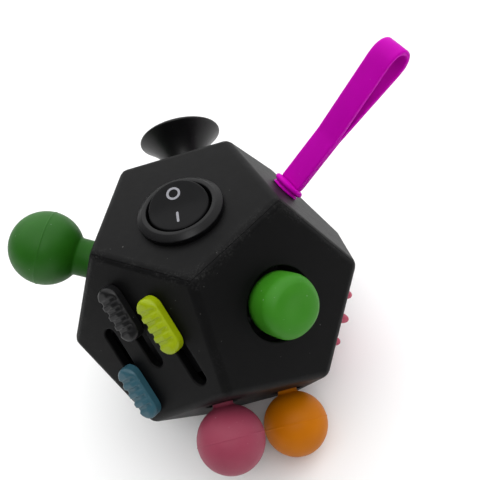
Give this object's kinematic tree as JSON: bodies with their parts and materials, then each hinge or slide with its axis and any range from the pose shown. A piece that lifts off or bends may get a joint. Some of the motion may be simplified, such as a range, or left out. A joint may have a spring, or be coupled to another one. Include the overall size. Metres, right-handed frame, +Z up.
{
  "type": "fidget toy",
  "caption": "Twelve-sided fidget toy: black shell with rocker switch, joystick, sliders, strap, suction cup, balls, studs, rollers, buttons and dial.",
  "frame": {"origin": "middle of the resting face, the face opposite the rocker switch", "axes": "+Z up through the rocker switch face, -Y towards the body corner between the slider face and the joystick face, +X towards the strap side"},
  "size_m": [0.0924, 0.0779, 0.0641],
  "materials": {
    "body_black": "soft-touch moulded ABS",
    "gloss_black": "polished nylon",
    "silicone_black": "moulded silicone",
    "silicone_green": "matte silicone",
    "silicone_magenta": "matte silicone",
    "silicone_pink": "matte silicone",
    "silicone_orange": "matte silicone",
    "slider_black": "moulded ABS",
    "slider_lime": "moulded ABS",
    "slider_blue": "moulded ABS",
    "inner_dark": "moulded ABS",
    "inner_white": "acetal",
    "steel": "zinc plated",
    "brass": "stamped",
    "grey_plastic": "moulded ABS",
    "button_green": "moulded ABS",
    "button_pink": "moulded ABS",
    "button_blue": "moulded ABS"
  },
  "bodies": {
    "shell": {"front_shell": "body_black", "rear_shell": "body_black", "retainer_screws": "steel", "switch_housing": "gloss_black", "switch_terminals": "brass", "joystick_housing": "inner_dark", "joystick_spring": "steel", "slider_backplate": "inner_dark", "strap_collar": "silicone_magenta", "stud_pad": "silicone_pink", "stud_backing": "inner_dark", "roller_axle": "steel", "roller_cradle": "inner_dark", "button_spring_1": "steel", "button_spring_2": "steel", "button_spring_3": "steel", "button_base": "inner_dark"},
    "rocker": {"switch_rocker": "gloss_black", "switch_plunger": "inner_white", "switch_spring": "steel"},
    "lever": {"switch_lever": "brass"},
    "gimbal": {"gimbal_ring": "inner_dark"},
    "stick": {"joystick_stick": "inner_dark", "joystick_cap": "silicone_green"},
    "black_slider": {"slider_knob_black": "slider_black", "slider_clip_black": "inner_dark"},
    "lime_slider": {"slider_knob_lime": "slider_lime", "slider_clip_lime": "inner_dark"},
    "blue_slider": {"slider_knob_blue": "slider_blue", "slider_clip_blue": "inner_dark"},
    "strap": {"strap_loop": "silicone_magenta"},
    "cup": {"suction_cup": "silicone_black"},
    "big_ball": {"green_ball": "silicone_green"},
    "pink_ball_body": {"pink_ball": "silicone_pink"},
    "orange_ball_body": {"orange_ball": "silicone_orange"},
    "dial_body": {"dial": "grey_plastic", "dial_washer": "steel", "dial_screw": "steel"},
    "left_roller": {"roller_left": "grey_plastic"},
    "middle_roller": {"roller_middle": "grey_plastic"},
    "right_roller": {"roller_right": "grey_plastic"},
    "first_button": {"button_1": "button_green"},
    "second_button": {"button_2": "button_pink"},
    "third_button": {"button_3": "button_blue"}
  },
  "joints": [
    {"name": "rocker_tilt", "type": "hinge", "parent": "shell", "child": "rocker", "pos_m": [0, -0.0022, 0.051], "axis": [1, 0, 0], "range_deg": [-16, 0]},
    {"name": "lever_tilt", "type": "hinge", "parent": "shell", "child": "lever", "pos_m": [0, -0.0022, 0.04525], "axis": [1, 0, 0], "range_deg": [0, 12]},
    {"name": "joystick_rock", "type": "hinge", "parent": "shell", "child": "gimbal", "pos_m": [0.01125, -0.01549, 0.03557], "axis": [0.809, 0.5878, 0], "range_deg": [-6.5, 6.5], "stiffness_Nm_per_rad": 0.02},
    {"name": "joystick_sway", "type": "hinge", "parent": "gimbal", "child": "stick", "pos_m": [0.01125, -0.01549, 0.03557], "axis": [0.2629, -0.3618, -0.8944], "range_deg": [-6.5, 6.5], "stiffness_Nm_per_rad": 0.02, "deforming": ["joystick_spring"]},
    {"name": "slide_black", "type": "slide", "parent": "shell", "child": "black_slider", "axis": [0.2629, -0.6382, -0.7236], "range_m": [-0.001, 0.0093]},
    {"name": "slide_lime", "type": "slide", "parent": "shell", "child": "lime_slider", "axis": [0.2629, -0.6382, -0.7236], "range_m": [0, 0.0103]},
    {"name": "slide_blue", "type": "slide", "parent": "shell", "child": "blue_slider", "axis": [0.2629, -0.6382, -0.7236], "range_m": [-0.0103, 0]},
    {"name": "strap_bend", "type": "hinge", "parent": "shell", "child": "strap", "pos_m": [0.02327, 0.00956, 0.04145], "axis": [-0.4253, 0.8618, 0.2764], "range_deg": [-50, 50], "stiffness_Nm_per_rad": 0.012},
    {"name": "cup_bend", "type": "hinge", "parent": "shell", "child": "cup", "pos_m": [0, 0.02245, 0.03723], "axis": [-1, 0, 0], "range_deg": [-8, 8], "stiffness_Nm_per_rad": 0.08},
    {"name": "green_ball_bend", "type": "hinge", "parent": "shell", "child": "big_ball", "pos_m": [-0.02217, 0.00615, 0.03615], "axis": [-0.309, -0.9511, 0], "range_deg": [-8, 8], "stiffness_Nm_per_rad": 0.08},
    {"name": "pink_ball_bend", "type": "hinge", "parent": "shell", "child": "pink_ball_body", "pos_m": [-0.0033, -0.02576, 0.02139], "axis": [0, 0.4472, -0.8944], "range_deg": [-8, 8], "stiffness_Nm_per_rad": 0.08},
    {"name": "orange_ball_bend", "type": "hinge", "parent": "shell", "child": "orange_ball_body", "pos_m": [0.0092, -0.02053, 0.01093], "axis": [0, 0.4472, -0.8944], "range_deg": [-8, 8], "stiffness_Nm_per_rad": 0.08},
    {"name": "dial_spin", "type": "hinge", "parent": "shell", "child": "dial_body", "pos_m": [-0.02212, -0.00719, 0.01437], "axis": [-0.8507, -0.2764, -0.4472], "continuous": true},
    {"name": "left_roller_spin", "type": "hinge", "parent": "shell", "child": "left_roller", "pos_m": [0.01283, 0.01766, 0.01509], "axis": [-0.809, 0.5878, 0], "continuous": true},
    {"name": "middle_roller_spin", "type": "hinge", "parent": "shell", "child": "middle_roller", "pos_m": [0.01283, 0.01766, 0.01509], "axis": [-0.809, 0.5878, 0], "continuous": true},
    {"name": "right_roller_spin", "type": "hinge", "parent": "shell", "child": "right_roller", "pos_m": [0.01283, 0.01766, 0.01509], "axis": [-0.809, 0.5878, 0], "continuous": true},
    {"name": "first_button_press", "type": "slide", "parent": "shell", "child": "first_button", "axis": [0.5257, -0.7236, 0.4472], "range_m": [0, 0.0012], "stiffness_N_per_m": 300, "deforming": ["button_spring_1"]},
    {"name": "second_button_press", "type": "slide", "parent": "shell", "child": "second_button", "axis": [0.5257, -0.7236, 0.4472], "range_m": [0, 0.0012], "stiffness_N_per_m": 300, "deforming": ["button_spring_2"]},
    {"name": "third_button_press", "type": "slide", "parent": "shell", "child": "third_button", "axis": [0.5257, -0.7236, 0.4472], "range_m": [0, 0.0012], "stiffness_N_per_m": 300, "deforming": ["button_spring_3"]}
  ],
  "couplings": [
    {"joint": "lever_tilt", "follows": "rocker_tilt", "ratio": -0.75}
  ]
}
